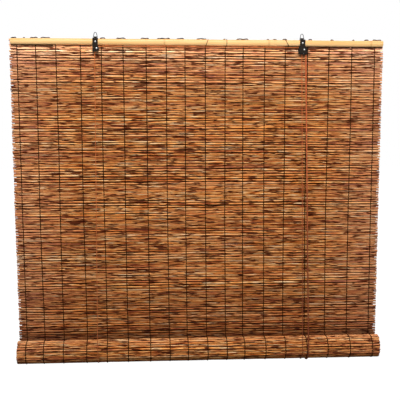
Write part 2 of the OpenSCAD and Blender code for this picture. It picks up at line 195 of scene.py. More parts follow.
def addNoise(tree, coords, stretch, detail=2.0, rough=0.5, shift=None):
    # noise on the piece's own coordinates, stretched by a scale for each axis
    mapping = addNode(tree, "ShaderNodeMapping", {"Scale": stretch})
    tree.links.new(coords, mapping.inputs["Vector"])
    vector = mapping.outputs["Vector"]
    if shift is not None:
        add = addNode(tree, "ShaderNodeVectorMath", operation="ADD")
        tree.links.new(vector, add.inputs[0])
        tree.links.new(shift, add.inputs[1])
        vector = add.outputs["Vector"]
    noise = addNode(tree, "ShaderNodeTexNoise", {"Scale": 1.0, "Detail": detail, "Roughness": rough})
    tree.links.new(vector, noise.inputs["Vector"])
    return noise.outputs["Fac"]


def addBump(tree, shader, height, strength, distance):
    bump = addNode(tree, "ShaderNodeBump", {"Strength": strength, "Distance": distance})
    tree.links.new(height, bump.inputs["Height"])
    tree.links.new(bump.outputs["Normal"], shader.inputs["Normal"])


def objectCoords(tree):
    return addNode(tree, "ShaderNodeTexCoord").outputs["Object"]


def splitCoords(tree, coords):
    node = addNode(tree, "ShaderNodeSeparateXYZ")
    tree.links.new(coords, node.inputs["Vector"])
    return node.outputs


# Tubes along lists of points: cords, twine and lashings

ropeSet = {
    # a strand's distance from the rope's middle and its radius, as shares of the rope's thickness
    "reach": 0.23, "radius": 0.27,
    # strands in a rope, points in one turn of each, and a direction that no rope starts in
    "strands": 3, "perTurn": 7, "aside": (0.31, 0.9, 0.17),
}


def tubes(name, paths, radius):
    curve = bpy.data.curves.new(name, "CURVE")
    curve.dimensions = "3D"
    curve.bevel_depth = radius
    curve.bevel_resolution = 1
    curve.use_fill_caps = True
    for path in paths:
        spline = curve.splines.new("POLY")
        spline.points.add(len(path) - 1)
        spline.points.foreach_set("co", np.column_stack([path, np.ones(len(path))]).ravel())
    obj = bpy.data.objects.new(name, curve)
    bpy.context.scene.collection.objects.link(obj)
    clearSelection()
    obj.select_set(True)
    bpy.context.view_layer.objects.active = obj
    bpy.ops.object.convert(target="MESH")
    obj = bpy.context.object
    bpy.ops.object.shade_smooth()
    return obj


def resample(path, gap):
    path = np.array(path, float)
    along = np.concatenate([[0], np.cumsum(np.linalg.norm(np.diff(path, axis=0), axis=1))])
    places = np.linspace(0, along[-1], max(2, round(along[-1] / gap) + 1))
    return np.column_stack([np.interp(places, along, path[:, k]) for k in range(3)]), places


def strandsOf(path, thick, strands, lay):
    # the centrelines of a rope's strands, laid round its path with one turn in each lay length
    points, places = resample(path, lay / ropeSet["perTurn"])
    tangent = np.gradient(points, axis=0)
    tangent /= np.linalg.norm(tangent, axis=1)[:, None]
    side = np.cross(tangent[0], ropeSet["aside"])
    sides = []
    for t in tangent:
        side = side - t * (side @ t)
        side = side / np.linalg.norm(side)
        sides.append(side)
    sides = np.array(sides)
    other = np.cross(tangent, sides)
    reach = thick * ropeSet["reach"]
    paths = []
    for k in range(strands):
        angle = 2 * math.pi * (places / lay + k / strands)
        paths.append(points + reach * (np.cos(angle)[:, None] * sides + np.sin(angle)[:, None] * other))
    return paths


def rope(name, path, thick, lay):
    return tubes(name, strandsOf(path, thick, ropeSet["strands"], lay), thick * ropeSet["radius"])


# Cord finishes

yarnSet = {
    "fuzz": (900, 900, 900), "patch": (40, 40, 25), "fuzzShare": 0.6, "patchShare": 0.5,
    "darkAt": 0.3, "lightAt": 0.75,
    # heights between which the grime fades out
    "grimy": -0.6, "clean": -0.1,
    "rough": 0.75, "shine": 0.15, "sheen": 0.05, "bump": 0.35, "bumpDepth": 0.0003,
}


def cordFinish(look, name, dark, light, grime):
    # fuzzy yarn, with grime on its lower end
    material, tree, shader = startMaterial(name)
    coords = objectCoords(tree)
    fuzz = addNoise(tree, coords, look["fuzz"], detail=3)
    patch = addNoise(tree, coords, look["patch"])
    both = addSum(tree, (fuzz, look["fuzzShare"]), (patch, look["patchShare"]))
    colour = addRamp(tree, both, [(look["darkAt"], dark), (look["lightAt"], light)])
    worn = addRange(tree, splitCoords(tree, coords)["Z"], look["grimy"], look["clean"], grime)
    colour = addMix(tree, "MULTIPLY", 1.0, colour, worn)
    tree.links.new(colour, shader.inputs["Base Color"])
    shader.inputs["Roughness"].default_value = look["rough"]
    shader.inputs["Specular IOR Level"].default_value = look["shine"]
    shader.inputs["Sheen Weight"].default_value = look["sheen"]
    addBump(tree, shader, fuzz, look["bump"], look["bumpDepth"])
    return material


orangeCord = cordFinish(yarnSet, "orange braided cord", (0.32, 0.075, 0.02), (0.7, 0.2, 0.05), 0.7)
rustCord = cordFinish(yarnSet, "rust braided cord", (0.34, 0.068, 0.02), (0.7, 0.17, 0.052), 0.34)


# What shapes the reeds, their rows and the roll

reedSet = {
    "sides": 6, "cuts": 5, "wall": 0.4, "pit": 0.012, "seed": 31,
    # a stem's form: least taper, most taper with and without drawn-out tips, a tip's width and length,
    # waves along it and their range of phase, how far it bows at most and for its length, and its knuckle
    "leastTaper": 0.02, "taper": 0.24, "plainTaper": 0.06, "tipWidth": 0.3, "tipLength": 0.2,
    "waves": (0.5, 1.6), "phase": 6.28, "bow": 0.0004, "bowShare": 0.0016,
    "knuckle": 0.07, "knuckleWidth": 0.05, "knuckleAt": (0.15, 0.85), "turn": 1.05,
    # a stem's tone: share of dark stems, and the ranges of both kinds
    "darkStem": 0.17, "darkTone": (0.0, 0.25), "lightTone": (0.35, 1.0), "depth": 0.003,
    # lanes of stems in a row: how they join, and their places and half depths in front and behind
    "joint": 0.3, "lap": 0.028, "width": (0.92, 1.05), "thickStem": 0.3, "thickShare": 1.05,
    "split": (0.36, 0.64), "thickCounts": (3, 4), "counts": (3, 4, 5), "slip": 0.0012,
    "frontPlace": 0.0011, "frontPlay": (-0.0003, 0.0001), "frontHalf": 0.0016,
    "backPlace": 0.0016, "backPlay": (-0.0002, 0.0002), "backHalf": 0.0011,
    "backLanes": ((0.5, 0.39, 2), (0.02, 0.31, 1)), "backShort": (0.0, 0.007),
    "rows": 117, "ragged": 0.0015, "gap": (0.0003, 0.0014),
    # the roll: its pitch, turns, half a reed, the angle up to which its rows have all their lanes,
    # the half depth of a plain row's stem, and the half height over which its painted light and shade change
    "rollPitch": 0.0068, "rollTurns": 3, "reedHalf": 0.0028, "fullTo": 2.1 * math.pi, "wound": 0.0026,
    "rollPaint": 0.032,
    # how far the mat hangs askew: its sideways shift at the top, half way and at the roll,
    # its extra half width, and the same for the roll
    "askewAt": (0, 0.55, 1), "askew": (-0.0008, 0.0004, 0.0032), "widen": 0.0007,
    "rollAskew": 0.002, "rollWiden": -0.0009,
}


# Cords: straight runs, the slings round the roll, the turns over the wheels, and the ends behind

cordSet = {
    "left": {"thick": 0.0018, "lay": 0.006, "finish": orangeCord, "slot": "orange_cord"},
    "right": {"thick": 0.0018, "lay": 0.006, "finish": rustCord, "slot": "rust_cord"},
    "pull": {"thick": 0.0036, "lay": 0.013, "finish": rustCord, "slot": "rust_cord"},
    # angles round the roll: the sling leaves its front run, is snug, is still snug, and meets its back run
    "snugFrom": (math.pi, 1.4 * math.pi, 1.75 * math.pi, 2 * math.pi), "press": 0.0003,
    # the knots behind the straps, their tails, and the hitch round the tack
    "hole": 0.0012, "knot": 0.0017, "knotRise": 0.4, "knotTurn": 0.93, "knotShare": 2.6, "knotDepth": 1.1,
    "tail": 0.012, "tailLean": ((0.001, 0.001), (0.0005, -0.0005)),
    "hitchTurns": 1.05, "hitchStep": 0.0003,
}


def runOf(node, thick, drift):
    # centreline of a straight CAD run, from its top to its foot
    low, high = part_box(node)
    r = thick / 2
    topX, footX = (low.x + r, high.x - r) if drift else ((low.x + high.x) / 2,) * 2
    topY, footY = high.y - r, low.y + r
    upright = high.y - low.y < 1.1 * thick
    if upright and not node.endswith("front"):
        topY = footY = (low.y + high.y) / 2
    return [Vector((topX, topY, high.z)), Vector((footX, footY, low.z))]


def slingOf(node, thick):
    # centreline of a sling, from the front round under the roll to the back: the ends are the CAD sling's,
    # and between them the cord lies snug against the wound reeds
    low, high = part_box(node)
    x, reach = (low.x + high.x) / 2, high.y - rollAxis.y - thick / 2
    rise = math.asin(min(0.5, (high.z - rollAxis.z) / reach))
    above = reedSet["reedHalf"] + thick / 2 - cordSet["press"]
    path = []
    for a in np.linspace(math.pi - rise, 2 * math.pi, 60):
        turned = (2 * math.pi - a) / (2 * math.pi)
        snug = -rollAxis.y - reedSet["rollPitch"] * turned + above
        loose = np.interp(a, cordSet["snugFrom"], (1, 0, 0, 1))
        r = snug + (reach - snug) * loose * loose * (3 - 2 * loose)
        path.append(Vector((x, rollAxis.y + r * math.cos(a), rollAxis.z + r * math.sin(a))))
    return path


def cordAlong(name, node, path, kind, body="head"):
    obj = rope(name, path, kind["thick"], kind["lay"])
    dress(obj, body, node, kind["finish"])
    return obj


def straightRun(name, node, kind, drift=False):
    path = runOf(node, kind["thick"], drift)
    obj = cordAlong(name, node, path, kind)
    shorten(obj)


def slingRun(name, node, kind):
    path = slingOf(node, kind["thick"])
    cordAlong(name, node, path, kind, "slings")


def arcPoints(centre, r, first, last, across=(1, 0, 0), count=16):
    # points of an upright arc, by angles in degrees from the direction across
    points = []
    for a in np.radians(np.linspace(first, last, count)):
        points.append(centre + Vector(across) * r * math.cos(a) + Vector((0, 0, 1)) * r * math.sin(a))
    return points


def makeCords(look):
    left, right, pull = look["left"], look["right"], look["pull"]
    straightRun("leftLiftCord", "left_cord_front", left)
    straightRun("rightLiftCord", "right_cord_front", right, drift=True)
    straightRun("pullCord", "pull_cord_front", pull, drift=True)
    straightRun("leftBackCord", "left_cord_back", left)
    straightRun("rightBackCord", "right_cord_back", right)
    straightRun("pullBackCord", "pull_cord_back", pull)
    slingRun("leftSling", "left_cord_sling", left)
    slingRun("rightSling", "right_cord_sling", right)
    slingRun("pullSling", "pull_cord_sling", pull)

    # the turns over the left pulley and the lock's roller
    pulley = Vector(joints["left_pulley_spin"]["pos_m"])
    low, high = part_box("cross_cord")
    y, r = (low.y + high.y) / 2, left["thick"] / 2
    reach = high.z - r - pulley.z
    rightX = high.x - r - reach
    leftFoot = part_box("left_cord_front")[1].z
    path = [Vector((pulley.x - reach, y, leftFoot))]
    path += arcPoints(Vector((pulley.x, y, pulley.z)), reach, 180, 90)
    path += arcPoints(Vector((rightX, y, pulley.z)), reach, 90, 0)
    path += [Vector((rightX + reach, y, low.z))]
    cordAlong("crossCord", "cross_cord", path, left)

    low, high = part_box("lock_cord")
    y = (low.y + high.y) / 2
    path = [Vector((rightX - reach, y, low.z))]
    path += arcPoints(Vector((rightX, y, pulley.z)), reach, 180, 0)
    path += [Vector((rightX + reach, y, low.z))]
    cordAlong("lockCord", "lock_cord", path, right)

    # the ends behind: bent through the strap's hole and knotted
    for side in ("left", "right"):
        low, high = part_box(side + "_cord_knot")
        x = (low.x + high.x) / 2
        runLow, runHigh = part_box(side + "_cord_back")
        runY = (runLow.y + runHigh.y) / 2
        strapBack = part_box(side + "_strap")[1].y
        bend = strapBack - runY - look["hole"]
        path = arcPoints(Vector((x, runY + bend, runHigh.z)), bend, 180, 90, (0, 1, 0), 10)
        knotY = strapBack + look["knot"] + look[side]["thick"] * look["knotRise"]
        centre, spread = Vector((x, knotY, runHigh.z + bend)), look["knot"] / look["knotShare"]
        for t in np.linspace(0.0, 2 * math.pi * look["knotTurn"], 44):
            path.append(centre + spread * Vector((
                math.sin(t) + 2 * math.sin(2 * t),
                -math.sin(3 * t) * look["knotDepth"],
                math.cos(t) - 2 * math.cos(2 * t))))
        for lean in look["tailLean"]:
            path.append(path[-1] + Vector((*lean, -look["tail"] / 2)))
        cordAlong(side + "Knot", side + "_cord_knot", path, look[side])

    # the pull cord's hitch round its tack
    low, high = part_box("pull_cord_hitch")
    x, y, r = (low.x + high.x) / 2, (low.y + high.y) / 2, pull["thick"] / 2
    reach = (high.x - low.x) / 2 - r
    ring = Vector((x, y, high.z - r - reach))
    path = [Vector((x, y, low.z))]
    path += [ring + Vector((reach * math.sin(a), look["hitchStep"] * a, -reach * math.cos(a)))
             for a in np.linspace(0.0, 2 * math.pi * look["hitchTurns"], 30)]
    cordAlong("pullHitch", "pull_cord_hitch", path, pull)


makeCords(cordSet)
print("cords made")


# Reeds: one stem is modelled and then copied, each copy bent and tapered in its own way

rng = random.Random(reedSet["seed"])

reedPaint = {
    # noise scales along, through and up the stems, and how each stem's own numbers shift the noise
    "streak": (26, 280, 280), "stain": (38, 360, 360), "fibre": (70, 2400, 2400), "shift": (9, 31, 17),
    # how much the streaks, a stem's tone and its fibres count, and the colours they lead to
    "streakShare": 1.2, "toneShare": 0.22, "fibreShare": 0.14, "darken": 0.054,
    "colours": [
        (0.48, (0.11, 0.012, 0.001)), (0.56, (0.285, 0.05, 0.005)), (0.64, (0.53, 0.152, 0.027)),
        (0.74, (0.7, 0.262, 0.058)), (0.86, (0.76, 0.38, 0.125)), (0.97, (0.77, 0.52, 0.28))],
    "pink": (0.44, 0.17, 0.09), "pinkShare": 0.4,
    # the blush, which at the sides is painted light from the bright background behind the edges: from where to the
    # sides and upwards it comes in, and its greatest shares
    "blush": (0.56, 0.28, 0.18), "blushX": 0.3, "sideShare": 0.3, "blushHeight": 0.8, "topShare": 0.32,
    "stained": (0.07, 0.0085, 0.001), "stainFrom": 0.48, "stainTo": 0.41, "stainShare": 0.96,
    # shares of the way out from the mat's middle between which the gaps' shade fades
    "shadeFrom": 0.2, "shadeTo": 0.75, "gapShade": 0.14,
    "smooth": 0.36, "rough": 0.62, "shine": 0.04, "bump": 0.25, "bumpDepth": 0.0004,
}

# painted light and shade by height, as a share of the way up the mat or the roll and a colour factor:
# the mat darkens towards the roll as painted shade, and lightens towards the top, most just under the batten as
# painted light against its shadow
matLightAndShade = [
    (0.00, (0.36, 0.30, 0.30)), (0.045, (0.43, 0.37, 0.37)), (0.075, (0.82, 0.73, 0.72)),
    (0.13, (0.76, 0.70, 0.70)), (0.24, (1.0, 0.97, 0.97)), (0.55, (1.03, 1.01, 1.01)),
    (0.84, (1.1, 1.1, 1.1)), (0.895, (1.2, 1.21, 1.22)), (0.93, (1.3, 1.36, 1.42)),
    (0.952, (1.32, 1.43, 1.54)), (0.962, (1.8, 2.0, 2.2)), (0.972, (2.3, 2.6, 2.85)),
]
# painted shade on the roll's underside and painted light on its top
rollLightAndShade = [
    (0.0, (0.3, 0.24, 0.18)), (0.07, (0.42, 0.34, 0.27)), (0.2, (0.92, 0.84, 0.74)),
    (0.36, (1.1, 1.08, 1.06)), (1.0, (1.18, 1.18, 1.18)),
]


def reedFinish(look, name, low, high, shading, blush):
    # browned reed: a tone for each stem, streaks along it, dark stains, a pale pink blush to the top and edges,
    # which is painted light at the edges, painted light and shade by height, and painted shade in the gaps between
    # the stems
    material, tree, shader = startMaterial(name)
    coords = objectCoords(tree)
    tone = addNode(tree, "ShaderNodeAttribute", attribute_name="reedTone")
    parts = addNode(tree, "ShaderNodeSeparateColor")
    tree.links.new(tone.outputs["Color"], parts.inputs["Color"])
    shift = addNode(tree, "ShaderNodeVectorMath", {1: look["shift"]}, operation="MULTIPLY")
    tree.links.new(tone.outputs["Color"], shift.inputs[0])
    own = shift.outputs["Vector"]
    streak = addNoise(tree, coords, look["streak"], detail=3, rough=0.6, shift=own)
    stain = addNoise(tree, coords, look["stain"], shift=own)
    fibre = addNoise(tree, coords, look["fibre"])

    toned = addSum(tree, (streak, look["streakShare"]), (parts.outputs["Red"], look["toneShare"]),
                   (fibre, look["fibreShare"]))
    colour = addRamp(tree, addMath(tree, "SUBTRACT", toned, look["darken"]), look["colours"])
    pinkness = addMath(tree, "MULTIPLY", parts.outputs["Green"], look["pinkShare"])
    colour = addMix(tree, "MIX", pinkness, colour, look["pink"])

    # a pale pink blush towards the sides, painted light from the bright background behind the edges, and towards
    # the top
    place = splitCoords(tree, coords)
    height = addRange(tree, place["Z"], low, high)
    aside = addMath(tree, "ABSOLUTE", place["X"], 0)
    sides = addRange(tree, aside, look["blushX"], matHigh.x, 0, look["sideShare"])
    above = addRange(tree, height, look["blushHeight"], 1.0, 0, look["topShare"])
    blushed = addMath(tree, "MULTIPLY", addMath(tree, "ADD", sides, above), blush, True)
    colour = addMix(tree, "MIX", blushed, colour, look["blush"])

    dirty = addRange(tree, stain, look["stainFrom"], look["stainTo"], 0, look["stainShare"])
    colour = addMix(tree, "MIX", dirty, colour, look["stained"])
    # painted light and shade by height
    colour = addMix(tree, "MULTIPLY", 1.0, colour, addRamp(tree, height, shading))
    # painted shade in the gaps between the stems, deepest near the mat's middle
    sunk = addRange(tree, tone.outputs["Alpha"], look["shadeFrom"], look["shadeTo"], look["gapShade"])
    colour = addMix(tree, "MULTIPLY", 1.0, colour, sunk)
    tree.links.new(colour, shader.inputs["Base Color"])
    gloss = addRange(tree, fibre, 0, 1, look["smooth"], look["rough"])
    tree.links.new(gloss, shader.inputs["Roughness"])
    shader.inputs["Specular IOR Level"].default_value = look["shine"]
    addBump(tree, shader, fibre, look["bump"], look["bumpDepth"])
    return material


def modelStem(look):
    # a stem of unit length and radius along X, with rings along it and a hollow at each end
    near = 0.01
    clearSelection()
    bpy.ops.mesh.primitive_cylinder_add(vertices=look["sides"], radius=1, depth=1, end_fill_type="NGON",
                                        rotation=(0, math.radians(90), 0))
    stem = bpy.context.object
    bpy.ops.object.transform_apply(location=True, rotation=True, scale=True)
    bpy.ops.object.mode_set(mode="EDIT")
    pick(stem, "EDGE", lambda edge: abs(edge.verts[0].co.x - edge.verts[1].co.x) > 0.5)
    bpy.ops.mesh.subdivide(number_cuts=look["cuts"])
    for end in (-0.5, 0.5):
        pick(stem, "EDGE", lambda edge: all(abs(vert.co.x - end) < near for vert in edge.verts))
        bpy.ops.mesh.mark_sharp()
        pick(stem, "FACE", lambda face: abs(face.calc_center_median().x - end) < near)
        bpy.ops.mesh.inset(thickness=look["wall"])
        inward = -math.copysign(look["pit"], end)
        bpy.ops.mesh.extrude_region_move(TRANSFORM_OT_translate={"value": (inward, 0, 0)})
    bpy.ops.object.mode_set(mode="OBJECT")
    bpy.ops.object.shade_smooth()
    stem.data.attributes.new("reedTone", "FLOAT_COLOR", "POINT")
    return stem


stemModel = modelStem(reedSet)
stemShape = np.array([v.co for v in stemModel.data.vertices], float)
alongStem = stemShape[:, 0] + 0.5


def layStem(fromX, toX, plane, centre, across, thick, tall, tone, tips, slim):
    # tall is measured along across, thick square to it; a tip is a drawn-out end,
    # and the plane is the mat's middle there: a point of it and its outward direction
    look = reedSet
    length = toX - fromX
    thinRight = rng.random() < 0.5 if tips[0] == tips[1] else tips[1]
    taper = 1 - rng.uniform(look["leastTaper"], slim) * (alongStem if thinRight else 1 - alongStem)
    for tip, place in zip(tips, (alongStem, 1 - alongStem)):
        if tip:
            taper = taper * np.clip(look["tipWidth"] + place / look["tipLength"], 0, 1)
    waves = rng.uniform(*look["waves"])
    phase = rng.uniform(0, look["phase"])
    bow = np.sin(look["phase"] * waves * alongStem + phase) * min(look["bow"], length * look["bowShare"])
    fromKnuckle = (alongStem - rng.uniform(*look["knuckleAt"])) / look["knuckleWidth"]
    swell = taper * (1 + look["knuckle"] * np.exp(-fromKnuckle ** 2))
    turn = rng.uniform(0, look["turn"])
    flat = stemShape[:, 1] * math.cos(turn) - stemShape[:, 2] * math.sin(turn)
    rise = stemShape[:, 1] * math.sin(turn) + stemShape[:, 2] * math.cos(turn)
    square = np.array((0, across[2], -across[1]))
    points = centre + np.outer(rise * tall * swell + bow, across) + np.outer(flat * thick * swell, square)
    points[:, 0] = fromX + alongStem * length
    mesh = stemModel.data.copy()
    mesh.vertices.foreach_set("co", points.ravel())
    colours = np.empty((len(points), 4))
    colours[:, :3] = tone
    # the alpha is the distance from the mat's middle, which sets the painted shade in the gaps
    colours[:, 3] = np.abs((points - plane[0]) @ plane[1]) / look["depth"]
    mesh.attributes["reedTone"].data.foreach_set("color", colours.ravel())
    obj = bpy.data.objects.new("stem", mesh)
    bpy.context.scene.collection.objects.link(obj)
    return obj


def stemTone():
    # share of tone, of pinkness and a free number for the streaks
    dark = rng.random() < reedSet["darkStem"]
    return rng.uniform(*reedSet["darkTone" if dark else "lightTone"]), rng.random(), rng.random()


def layLane(stems, plane, centre, across, thick, tall, fromX, toX, count, tipped=True):
    # one lane of stems laid end to end, with each tip slipped past the next
    look = reedSet
    marks = [(k + rng.uniform(-look["joint"], look["joint"])) / count for k in range(count + 1)]
    marks[0], marks[-1] = 0.0, 1.0
    for k in range(count):
        first = fromX + (toX - fromX) * marks[k] - (look["lap"] if k else 0)
        last = fromX + (toX - fromX) * marks[k + 1] + (look["lap"] if k < count - 1 else 0)
        wide = rng.uniform(*look["width"])
        tips = (tipped and k > 0, tipped and k < count - 1)
        stems.append(layStem(first, last, plane, centre, across, thick * wide, tall * wide, stemTone(), tips,
                             look["taper" if tipped else "plainTaper"]))


def layRow(stems, middle, out, across, height, ends, full=True):
    # one row of the mat: one or two lanes in front, and two behind, of which one backs the gap under the row
    middle, out, across = np.array(middle), np.array(out), np.array(across)
    look, plane = reedSet, (middle, out)
    left = ends[0] + rng.uniform(0, look["ragged"])
    right = ends[1] - rng.uniform(0, look["ragged"])
    room = height / 2 - rng.uniform(*look["gap"]) / 2
    if not full:
        layLane(stems, plane, middle, across, look["wound"], room, left, right, 1, False)
        return
    front = middle + out * (look["frontPlace"] + rng.uniform(*look["frontPlay"]))
    if rng.random() < look["thickStem"]:
        layLane(stems, plane, front, across, look["frontHalf"] * look["thickShare"], room, left, right,
                rng.choice(look["thickCounts"]))
    else:
        share = rng.uniform(*look["split"])
        upper, lower = room * (1 - share), room * share
        layLane(stems, plane, front + across * lower, across, look["frontHalf"], upper, left,
                right - rng.uniform(0, look["slip"]), rng.choice(look["counts"]))
        layLane(stems, plane, front - across * upper, across, look["frontHalf"], lower,
                left + rng.uniform(0, look["slip"]), right, rng.choice(look["counts"]))
    for drop, tall, count in look["backLanes"]:
        behind = middle - across * height * drop - out * (look["backPlace"] + rng.uniform(*look["backPlay"]))
        layLane(stems, plane, behind, across, look["backHalf"], height * tall,
                left + rng.uniform(*look["backShort"]), right - rng.uniform(*look["backShort"]), count, False)


def joinStems(stems, name):
    print(name, "of", len(stems), "stems")
    clearSelection()
    for obj in stems:
        obj.select_set(True)
    bpy.context.view_layer.objects.active = stems[0]
    bpy.ops.object.join()
    piece = bpy.context.object
    piece.name = piece.data.name = name
    return piece


rowStep = (matHigh.z - rollAxis.z) / reedSet["rows"]


def makeMat(look):
    stems = []
    half = matHigh.x + look["widen"]
    for row in range(look["rows"]):
        shift = np.interp(row / look["rows"], look["askewAt"], look["askew"])
        layRow(stems, (0, 0, matHigh.z - (row + 0.5) * rowStep), (0, -1, 0), (0, 0, 1), rowStep,
               (shift - half, shift + half))
    finish = reedFinish(reedPaint, "browned reed, hanging", rollAxis.z, matHigh.z, matLightAndShade, 1.0)
    piece = joinStems(stems, "reedMat")
    dress(piece, "head", "reed_mat", finish)
    shorten(piece)


rollRadius = -rollAxis.y
meanRadius = rollRadius - reedSet["rollPitch"] * reedSet["rollTurns"] / 2
rollLength = 2 * math.pi * reedSet["rollTurns"] * meanRadius
rollRows = round(rollLength / rowStep)
rollStep = rollLength / rollRows


def rollPoint(angle, out, x=0.0):
    # a point of the wound mat, by the angle turned from the back, down under and round the front
    r = rollRadius - reedSet["rollPitch"] * angle / (2 * math.pi) + out
    return np.array((x, rollAxis.y + r * math.cos(angle), rollAxis.z - r * math.sin(angle)))


def rollAngle(length):
    pitch = reedSet["rollPitch"]
    return 2 * math.pi / pitch * (rollRadius - math.sqrt(rollRadius ** 2 - pitch * length / math.pi))


def makeRoll(look):
    stems = []
    half, shift = matHigh.x + look["rollWiden"], look["rollAskew"]
    for row in range(rollRows):
        angle = rollAngle((row + 0.5) * rollStep)
        out = (0, math.cos(angle), -math.sin(angle))
        across = (0, math.sin(angle), math.cos(angle))
        layRow(stems, rollPoint(angle, 0), out, across, rollStep, (shift - half, shift + half),
               angle < look["fullTo"])
    low, high = rollAxis.z - look["rollPaint"], rollAxis.z + look["rollPaint"]
    finish = reedFinish(reedPaint, "browned reed, rolled", low, high, rollLightAndShade, 0.5)
    dress(joinStems(stems, "reedRoll"), "roll", "mat_roll", finish)


makeMat(reedSet)
makeRoll(reedSet)
bpy.data.objects.remove(stemModel)


# Warp twine: two dark strands that cross between the rows

twineSet = {
    # points for each row, how far a warp wanders and its waves down the mat and from warp to warp
    "perRow": 3, "wander": 0.0007, "wanderRows": 17, "wanderX": 40,
    # a strand's radius, its swings to the side and outwards, and how square the swing is
    "strand": 0.00115, "side": 0.0004, "reach": 0.0029, "square": 0.6,
    # where the threads end: rows left out at the mat's foot, first row of the roll, and angle round the roll
    "foot": 0.3, "firstTurn": 0.4, "wrap": 5.85,
    # the warps' sideways shift at the top, half way, at the roll and round its front, and how far they spread
    "askew": (-0.0018, -0.0004, 0.0038, 0.0033), "spread": (0.0018, -0.002),
    "fuzz": (1200, 1200, 700), "colours": [(0.3, (0.014, 0.005, 0.001)), (0.8, (0.058, 0.02, 0.006))],
    "rough": 0.85, "shine": 0.03, "bump": 0.4, "bumpDepth": 0.0002,
}


def twineFinish(look):
    material, tree, shader = startMaterial("dark twine")
    fuzz = addNoise(tree, objectCoords(tree), look["fuzz"])
    tree.links.new(addRamp(tree, fuzz, look["colours"]), shader.inputs["Base Color"])
    shader.inputs["Roughness"].default_value = look["rough"]
    shader.inputs["Specular IOR Level"].default_value = look["shine"]
    addBump(tree, shader, fuzz, look["bump"], look["bumpDepth"])
    return material


darkTwine = twineFinish(twineSet)


def placesOf(node):
    # the middles, along X, of the separate solids of a node
    xs = sorted({round(v.co.x, 4) for v in frame["nodes"][node].data.vertices})
    return [(a + b) / 2 for a, b in zip(xs[::2], xs[1::2])]


def strandWave(rows, half, look):
    # sideways and outward swing of one of a warp's two strands, which change places between the rows
    wave = np.cos(math.pi * (rows - 0.5 + half))
    side = np.sin(math.pi * (rows - 0.5 + half)) * look["side"]
    return side, look["reach"] * np.sign(wave) * np.abs(wave) ** look["square"]


def makeTwine(look):
    rows = np.arange(0, reedSet["rows"] - look["foot"], 1 / look["perRow"])
    turns = np.arange(look["firstTurn"], rollRows / 2, 1 / (look["perRow"] + 1))
    turns = np.array([turn for turn in turns if rollAngle(turn * rollStep) < look["wrap"]])
    angles = [rollAngle(turn * rollStep) for turn in turns]
    *fall, front = look["askew"]
    hanging, wound = [], []
    for x in placesOf("warp_threads"):
        wave = np.sin(rows / look["wanderRows"] + x * look["wanderX"])
        wander = rng.uniform(-1, 1) * look["wander"] * wave
        spread, close = np.array(look["spread"]) * x / matHigh.x
        lean = x + spread + np.interp(rows / rows[-1], reedSet["askewAt"], fall) + wander
        drift = x + np.interp(angles, (0, math.pi), (spread + fall[-1], close + front))
        for half in (0, 1):
            side, out = strandWave(rows, half, look)
            hanging.append(np.column_stack([lean + side, -out, matHigh.z - rows * rowStep]))
            side, out = strandWave(turns, half, look)
            wound.append(np.array([rollPoint(a, o, d) for a, o, d in zip(angles, out, drift + side)]))
    piece = tubes("warpTwine", hanging, look["strand"])
    dress(piece, "head", "warp_threads", darkTwine)
    shorten(piece)
    dress(tubes("rollTwine", wound, look["strand"]), "roll", "roll_threads", darkTwine)


makeTwine(twineSet)
print("warp twine made")


# Battens: bamboo laths with their knots, and the thread that lashes the mat to them

lathSet = {
    "knots": (-0.085, 0.168, 0.42), "ridge": 1.045, "dip": 0.975, "spread": 0.0022, "ringReach": 1.5,
    # share of a knot's growth that shows in depth
    "depthShare": 0.7,
    # rings along the lath and how near its ends they come, and its waves along X and from lath to lath
    "sides": 36, "every": 0.05, "endRoom": 0.01, "wobble": 0.00025, "wobbleX": 23, "wobbleY": 900,
    "soften": 0.0008, "sharp": 35,
}

bambooSet = {
    "grain": (4, 520, 520), "broad": (6, 70, 70), "speck": (160, 900, 900),
    "grainShare": 0.6, "broadShare": 0.4,
    "darkAt": 0.3, "midAt": 0.5, "paleAt": 0.68, "knotShare": 0.7,
    "fleckFrom": 0.3, "fleckTo": 0.22, "fleckShare": 0.5,
    "smooth": 0.34, "rough": 0.52, "shine": 0.3, "bump": 0.15, "bumpDepth": 0.0004,
}

# painted light on the front batten: its shaded lower half is lightened, by share of the way up and a colour factor
battenLight = [
    (0.0, (1.7, 2.1, 2.9)), (0.22, (1.3, 1.5, 1.9)), (0.42, (0.98, 1.05, 1.15)),
    (0.62, (0.92, 0.88, 0.92)), (1.0, (0.93, 0.88, 0.95)),
]


def bambooFinish(look, name, pale, mid, dark, knot, shading=()):
    material, tree, shader = startMaterial(name)
    coords = objectCoords(tree)
    grain = addNoise(tree, coords, look["grain"], detail=4, rough=0.6)
    broad = addNoise(tree, coords, look["broad"])
    speck = addNoise(tree, coords, look["speck"], detail=1)
    both = addSum(tree, (grain, look["grainShare"]), (broad, look["broadShare"]))
    colour = addRamp(tree, both, [(look["darkAt"], dark), (look["midAt"], mid), (look["paleAt"], pale)])
    ring = addNode(tree, "ShaderNodeAttribute", attribute_name="knotRing").outputs["Fac"]
    colour = addMix(tree, "MIX", addMath(tree, "MULTIPLY", ring, look["knotShare"]), colour, knot)
    fleck = addRange(tree, speck, look["fleckFrom"], look["fleckTo"], 0, look["fleckShare"])
    colour = addMix(tree, "MIX", fleck, colour, knot)
    # painted light by height on the front batten
    if shading:
        low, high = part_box("front_batten")
        height = addRange(tree, splitCoords(tree, coords)["Z"], low.z, high.z)
        colour = addMix(tree, "MULTIPLY", 1.0, colour, addRamp(tree, height, shading))
    tree.links.new(colour, shader.inputs["Base Color"])
    gloss = addRange(tree, grain, 0, 1, look["smooth"], look["rough"])
    tree.links.new(gloss, shader.inputs["Roughness"])
    shader.inputs["Specular IOR Level"].default_value = look["shine"]
    addBump(tree, shader, grain, look["bump"], look["bumpDepth"])
    return material


